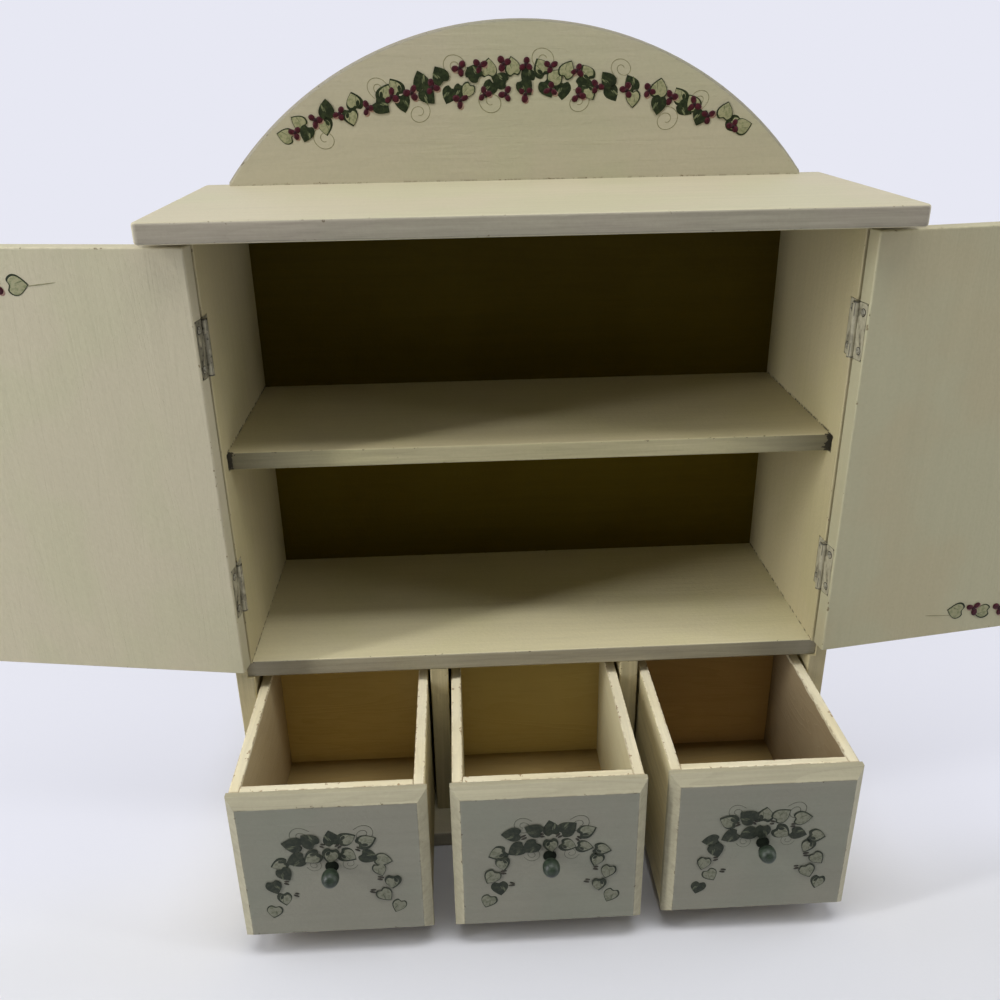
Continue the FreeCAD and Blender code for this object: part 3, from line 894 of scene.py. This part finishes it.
# A painter works on one face: where it is, which way is right and up, and what has been put on it.
# Places are in millimetres on that face, and a turn is how far something leans over to the left.
class Painter:
    def __init__(self, corner, right, paints, seed):
        up = Vector((0, 0, 1))
        self.face = Matrix((right, up, right.cross(up))).transposed().to_4x4()
        self.face.translation = corner
        self.paints = paints
        self.chance = random.Random(seed)
        self.laid = []
        self.layer = 0

    def stray(self, reach):                # a little to either side
        return self.chance.uniform(-reach, reach)

    def lay(self, motif, paint, at, turn, size, lift):
        x, y = at
        width, length, height = size
        place = (Matrix.Translation((x * mm, y * mm, lift * mm)) @ Matrix.Rotation(turn, 4, "Z")
                 @ Matrix.Diagonal((width * mm, length * mm, height * mm, 1)))
        self.laid.append(copyOf(motifs[motif], self.face @ place, self.paints[paint]))

    def leaf(self, x, y, turn, size, style):               # each lies a little over the one before
        self.layer = (self.layer + 1) % 5
        lift = 0.1 * self.layer
        width = size * self.chance.uniform(0.9, 1.06)
        side = self.chance.choice((-1, 1))
        ahead = Vector((-math.sin(turn), math.cos(turn))) * size
        beside = Vector((math.cos(turn), math.sin(turn))) * side * width
        self.lay("heart", "dark", (x, y), turn, (width, size, 3.0), lift)
        for motif, paint, along, aside, lean, broad, long, height, above in leafStrokes[style]:
            at = Vector((x, y)) + ahead * along + beside * aside
            across = (width * broad, size * long, height)
            self.lay(motif, paint, at, turn + side * lean, across, lift + above)

    def leafAround(self, x, y, turn, size, style):         # by its middle instead of its stem
        self.leaf(x + 0.45 * size * math.sin(turn), y - 0.45 * size * math.cos(turn), turn, size, style)

    def anyStyle(self, dark, half):
        draw = self.chance.random()
        return "dark" if draw < dark else "half" if draw < dark + half else "outline"

    def berries(self, x, y, turn, size):                   # three round a pit, some with a blush below
        chance = self.chance
        for number in range(3):
            angle = turn + number * math.radians(120) + self.stray(0.3)
            reach = size * chance.uniform(0.25, 0.31)
            at = Vector((x, y)) + Vector((math.cos(angle), math.sin(angle))) * reach
            if chance.random() < 0.5:
                below = (at.x + 0.5, at.y - 0.6)
                self.lay("dab", "blush", below, angle, (size * 0.5, size * 0.42, 0.6), 0.02)
            across = (size * chance.uniform(0.46, 0.54), size * chance.uniform(0.36, 0.44), 0.8)
            self.lay("dab", "berry", at, angle, across, 0.22)
        self.lay("dab", "pit", (x, y), turn, (size * 0.3, size * 0.24, 0.9), 0.26)

    def dash(self, x, y, turn, length):                    # two short strokes side by side
        for aside in (-0.7, 0.7):
            at = (x + aside * math.cos(turn), y + aside * math.sin(turn))
            lean = turn + self.stray(0.3)
            self.lay("dab", "berry", at, lean, (1.1, length * self.chance.uniform(0.8, 1.1), 0.3), 0.1)

    def tendril(self, x, y, turn, size, flip, squat=1.0):
        self.lay("curl", "line", (x, y), turn, (size * flip, size * squat, size * 0.4), 0.03)

    def done(self, name, body):
        joined(self.laid, name, body)


# The pediment's garland hangs along an arc: a leaf up and a leaf down between clusters of berries,
# with a third row of leaves and more berries towards the middle.
swag = {"halfSpan": 116, "middle": 48, "drop": 27, "dropSpan": 122, "bend": 1.8, "stations": 41,
        "leaf": 8.5, "scatter": 2.5, "sway": 0.7, "berries": 7.4, "berryRow": 6.2, "fullTo": 36,
        "tendrils": 10, "firstTendril": -93, "tendrilSpacing": 20.6, "seed": 11}


def swagPath(x):                           # how high the arc is there, and how much its leaves lean
    share = abs(x) / swag["dropSpan"]
    height = swag["middle"] - swag["drop"] * share ** swag["bend"]
    slope = swag["bend"] * swag["drop"] / swag["dropSpan"] * share ** (swag["bend"] - 1)
    return height, math.atan(slope)


def paintSwag():
    low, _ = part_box("pediment")
    painter = Painter(Vector((0, low.y, low.z)), Vector((1, 0, 0)), garlandPaints, swag["seed"])
    chance = painter.chance
    stray = painter.stray
    for number in range(swag["tendrils"]):                 # first, to lie under the rest
        x = swag["firstTendril"] + swag["tendrilSpacing"] * number + stray(3)
        y, _ = swagPath(x)
        flip = chance.choice((-1, 1))
        if number % 2:
            painter.tendril(x, y + chance.uniform(1, 5), 0.5 * flip, chance.uniform(10, 12.5), flip, 0.8)
        else:
            painter.tendril(x, y - 4, math.pi - 0.4 * flip, chance.uniform(11, 13), flip, 0.9)
    last = swag["stations"] - 1
    for station in range(last + 1):
        x = swag["halfSpan"] * (2 * station / last - 1) + stray(1)
        y, slope = swagPath(x)
        full = abs(x) < swag["fullTo"]
        if station in (0, last):
            turn = math.copysign(math.radians(75), -x)
            painter.leafAround(x, y, turn, swag["leaf"] * 0.95, "outline")
        elif station % 2 == 0:
            size = swag["leaf"] * chance.uniform(0.9, 1.06)
            spread = 1.6 if full else 0.4
            painter.leaf(x + stray(swag["scatter"]), y + spread, slope + stray(swag["sway"]), size,
                         painter.anyStyle(0.35, 0.35))
            painter.leaf(x + stray(swag["scatter"]), y - spread, slope + math.pi + stray(swag["sway"]),
                         size * 0.97, painter.anyStyle(0.5, 0.3))
        else:
            if full:
                painter.leaf(x + stray(2), y + stray(2), chance.uniform(0, 2 * math.pi),
                             swag["leaf"] * 0.92, painter.anyStyle(0.6, 0.3))
            for step in (-swag["berryRow"], swag["berryRow"]) if full else (0,):
                painter.berries(x + stray(2.2), y + step + stray(1.8), chance.uniform(0, 2),
                                swag["berries"] * chance.uniform(0.9, 1.06))
    painter.done("pedimentGarland", "cabinet")


paintSwag()
print("pediment garland painted")


# The drawers' garlands: two rows of leaves over the knob, and a few down each side.
drape = {"leaf": 8.0, "topRow": 5, "topSpacing": 8.3, "topHeight": 16.2, "lowRow": 7, "lowSpacing": 8.0,
         "lowHeight": 5.9, "sideRow": 4, "sideOut": 21, "sideTop": -3.6, "sideFall": 7.4, "sway": 0.25,
         "seed": 40}


def stepsOf(row):                          # the numbers of a row, and how far each is from its middle
    return [(number, number - (row - 1) / 2) for number in range(row)]


def paintDrape(side, seed):
    low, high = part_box(side + "_drawer_front_board")
    knobLow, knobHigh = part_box(side + "_drawer_knob")
    knob = Vector(((low.x + high.x) / 2, low.y, (knobLow.z + knobHigh.z) / 2))
    painter = Painter(knob, Vector((1, 0, 0)), drawerPaints, seed)
    chance = painter.chance
    stray = painter.stray
    size = drape["leaf"]
    for edge in (-1, 1):
        painter.tendril(edge * chance.uniform(6, 11), drape["topHeight"] + 4, -2.2 * edge,
                        chance.uniform(9, 10.5), -edge, 0.85)
        painter.tendril(edge * chance.uniform(11, 15), 0, 1.3 * edge, chance.uniform(6, 7), -edge)
    for _, step in stepsOf(drape["lowRow"]):
        lean = math.copysign(math.pi - 1.25 * math.tanh(abs(step)), -step)
        x = step * drape["lowSpacing"] + stray(1)
        y = drape["lowHeight"] - 0.4 * step ** 2
        painter.leafAround(x, y, lean + stray(drape["sway"]), size * chance.uniform(0.94, 1.06),
                           painter.anyStyle(0.62 if step < 0.5 else 0.25, 0.3))
    for number, step in stepsOf(drape["topRow"]):
        lean = -1.35 * math.tanh(step)
        x = step * drape["topSpacing"] + stray(1)
        y = drape["topHeight"] - 0.7 * step ** 2
        painter.leafAround(x, y, lean + stray(drape["sway"]), size * chance.uniform(1.0, 1.12),
                           painter.anyStyle(0.85 if step < 0.5 else 0.25, 0.4))
        if number:
            painter.dash(x - drape["topSpacing"] / 2, y - 4.2, chance.uniform(0.6, 2.4), 2.6)
    for edge in (-1, 1):
        for number in range(drape["sideRow"]):
            x = edge * (drape["sideOut"] + 4.6 * (number % 2) + 0.8 * number)
            y = drape["sideTop"] - drape["sideFall"] * number
            style = painter.anyStyle(0.45, 0.2) if edge < 0 else painter.anyStyle(0.1, 0.25)
            painter.leafAround(x, y, math.pi + stray(0.7), size * chance.uniform(0.86, 1.0), style)
            if number in (1, 2):
                painter.dash(x - edge * 5.5, y + 2.5, math.radians(80) + stray(0.3), 2.8)
    painter.done(side + "DrawerGarland", side + "_drawer")


for seed, side in enumerate(("left", "middle", "right"), drape["seed"]):
    paintDrape(side, seed)
print("drawer garlands painted")


# Sprigs on the inner faces of the doors, towards their free edges. Start is how far out they begin.
sprig = {"leaf": 9.0, "berries": 8.2, "spacing": 15.0, "leaves": 4, "stroke": 15,
         "left": {"height": 297.5, "start": 78, "seed": 61},
         "right": {"height": 120.5, "start": 76, "seed": 62}}


def doorPainter(side, sign):               # with its corner on the hinge axis, on the door's inner face
    joint = next(joint for joint in frame["joints"] if joint["child"] == side + "_door")
    lean = doorSwing - math.pi
    out = Vector((sign * math.sin(lean), -math.cos(lean), 0))
    depth = max(vertex.co.dot(out) for vertex in nodes[side + "_door"].data.vertices)
    corner = Vector((*joint["pos_m"][:2], 0))
    corner += out * (depth - corner.dot(out))
    corner.z = sprig[side]["height"] * mm
    return Painter(corner, Vector((0, 0, 1)).cross(out), garlandPaints, sprig[side]["seed"])


def paintSprig(side, sign):
    painter = doorPainter(side, sign)
    chance = painter.chance
    stray = painter.stray
    start = sprig[side]["start"]
    size = sprig["leaf"]
    toHinge = math.radians(90 * sign)      # a tip that points back at the hinges
    painter.lay("dab", "line", (sign * (start - size * 1.5), 0.3), toHinge - sign * 0.12,
                (0.45, sprig["stroke"], 0.3), 0.03)
    for number in range(sprig["leaves"]):
        x = sign * (start + number * sprig["spacing"])
        y = stray(1.5)
        painter.leaf(x, y, toHinge + stray(0.3), size,
                     "outline" if number < 2 else painter.anyStyle(0.4, 0.3))
        if number > 1:
            painter.leaf(x, y + 1, stray(0.5), size * 0.92, painter.anyStyle(0.4, 0.3))
            painter.leaf(x, y - 1, math.pi + stray(0.5), size * 0.92, painter.anyStyle(0.4, 0.3))
        painter.berries(x + sign * 6.5, y + stray(1), chance.uniform(0, 2), sprig["berries"])
    painter.done(side + "DoorSprig", side + "_door")


paintSprig("left", -1)
paintSprig("right", 1)
setAside(motifs.values())
print("door sprigs painted")


# Stage: a pale seamless sweep of paper that fades to plain white behind. Its sizes are in metres.
backdrop = shade(231, 232, 243)
paper = {"wide": 6, "long": 4, "middle": 0.4, "high": 3, "bend": 0.9}


def modelSweep():
    sweep = newPiece(bpy.ops.mesh.primitive_plane_add, size=1, location=(0, paper["middle"], 0))
    sweep.name = "sweep"
    bpy.ops.mesh.select_all(action="SELECT")
    bpy.ops.transform.resize(value=(paper["wide"], paper["long"], 1))
    pick(sweep, "EDGE", lambda edge: all(vertex.co.y > 0 for vertex in edge.verts))
    bpy.ops.mesh.extrude_region_move(TRANSFORM_OT_translate={"value": (0, 0, paper["high"])})
    pick(sweep, "EDGE", lambda edge: all(vertex.co.y > 0 and vertex.co.z < 0.01 for vertex in edge.verts))
    bpy.ops.mesh.bevel(offset=paper["bend"], segments=16)
    bpy.ops.object.mode_set(mode="OBJECT")
    bpy.ops.object.transform_apply(location=True, rotation=True, scale=True)
    bpy.ops.object.shade_smooth()
    return sweep


def paperFinish():
    material, tree, shader = newMaterial("sweepPaper")
    place = objectPlace(tree)
    x, y, _ = split(tree, place)
    soft = ramp(tree, noise(tree, place, 1.6), 0.3, 0.7)
    colour = blend(tree, soft, shade(222, 223, 229), shade(219, 220, 227))
    # Painted shade: the paper in front of the object is a little darker
    colour = blend(tree, ramp(tree, y, -0.09, -0.14), colour, shade(213, 214, 220))
    surface(tree, shader, colour, 0.7, noise(tree, place, 900), 0.04)
    # Seen from the camera the paper glows behind, and near the object at its sides but not in front, where
    # the glow is a painted light that lifts the shadows beside the object
    behind = ramp(tree, reachOf(tree, x, y), 0.3, 0.6)
    near = ramp(tree, reachOf(tree, x, plus(tree, y, 0.28)), 0.12, 0.38)
    beside = times(tree, near, ramp(tree, sizeOf(tree, x), 0.11, 0.2, 0.0, 0.8))
    beside = times(tree, beside, ramp(tree, y, -0.13, -0.06))
    path = tree.nodes.new("ShaderNodeLightPath")
    seen = larger(tree, path.outputs["Is Camera Ray"], path.outputs["Is Glossy Ray"])
    seen = larger(tree, seen, path.outputs["Is Transmission Ray"])
    glow = tree.nodes.new("ShaderNodeEmission")
    glow.inputs["Color"].default_value = (*backdrop, 1)
    share = times(tree, larger(tree, behind, beside), seen)
    mixShaders(tree, share, shader.outputs[0], glow.outputs[0], "Material Output")
    return material


sweep = modelSweep()
sweep.data.materials.append(paperFinish())


# Soft studio light: a panel high in front and a weaker one overhead, a tall strip in front on each side
# and a wide soft panel beyond each door. Places and sizes are in metres.
lights = {
    "overhead": {"place": (0, 0.3, 1.6), "aim": (0, 0.2, 0), "size": (1.9, 1.0), "watts": 5.0},
    "frontTop": {"place": (0, -0.39, 1.6), "aim": (0, -0.05, 0.2), "size": (1.5, 0.35), "watts": 13.0},
    "leftStrip": {"place": (-1.42, -0.556, 0.75), "aim": (-0.05, -0.05, 0.2), "size": (0.14, 1.2),
                  "watts": 15.0},
    "rightStrip": {"place": (1.42, -0.556, 0.75), "aim": (0.05, -0.05, 0.2), "size": (0.16, 1.2),
                   "watts": 4.8},
    "leftWall": {"place": (-1.25, 0.1, 0.65), "aim": (0, 0.1, 0.3), "size": (1.0, 1.2), "watts": 5.2},
    "rightWall": {"place": (1.25, 0.1, 0.65), "aim": (0, 0.1, 0.3), "size": (1.0, 1.2), "watts": 6.0},
}
ambient = {"colour": (0.94, 0.96, 1.0), "strength": 0.06}


def makeLights():
    for name, spec in lights.items():
        deselectAll()
        bpy.ops.object.light_add(type="AREA", location=spec["place"])
        lamp = bpy.context.object
        lamp.name = name
        lamp.data.shape = "RECTANGLE"
        lamp.data.size, lamp.data.size_y = spec["size"]
        lamp.data.energy = spec["watts"]
        lamp.visible_camera = False
        toward = Vector(spec["aim"]) - Vector(spec["place"])
        lamp.rotation_euler = toward.to_track_quat("-Z", "Y").to_euler()


def makeWorld():
    world = bpy.data.worlds.new("studioAir")
    world.use_nodes = True
    tree = world.node_tree
    air = tree.nodes["Background"]
    air.inputs["Color"].default_value = (*ambient["colour"], 1)
    air.inputs["Strength"].default_value = ambient["strength"]
    pale = tree.nodes.new("ShaderNodeBackground")          # what is seen past the end of the paper
    pale.inputs["Color"].default_value = (*backdrop, 1)
    seen = tree.nodes.new("ShaderNodeLightPath").outputs["Is Camera Ray"]
    mixShaders(tree, seen, air.outputs[0], pale.outputs[0], "World Output")
    bpy.context.scene.world = world


# The camera stands a little left of the middle, looking down on the cabinet. Its place is in millimetres.
camera = {"place": (-33.1, -462.15, 378.1), "yaw": 2.35, "pitch": -24.17, "roll": -0.99, "lens": 34.94}


def makeCamera():
    deselectAll()
    bpy.ops.object.camera_add()
    eye = bpy.context.object
    eye.name = "photographer"
    eye.data.lens = camera["lens"]
    eye.data.sensor_width = 36
    eye.data.clip_start = 0.01
    spot = Matrix.Translation(Vector(camera["place"]) * mm)
    yaw = Matrix.Rotation(math.radians(-camera["yaw"]), 4, "Z")
    pitch = Matrix.Rotation(math.radians(90 + camera["pitch"]), 4, "X")
    roll = Matrix.Rotation(math.radians(camera["roll"]), 4, "Z")
    eye.matrix_world = spot @ yaw @ pitch @ roll
    bpy.context.scene.camera = eye


makeLights()
makeWorld()
makeCamera()
bpy.context.scene.view_settings.view_transform = "Standard"
print("stage, lights and camera set")
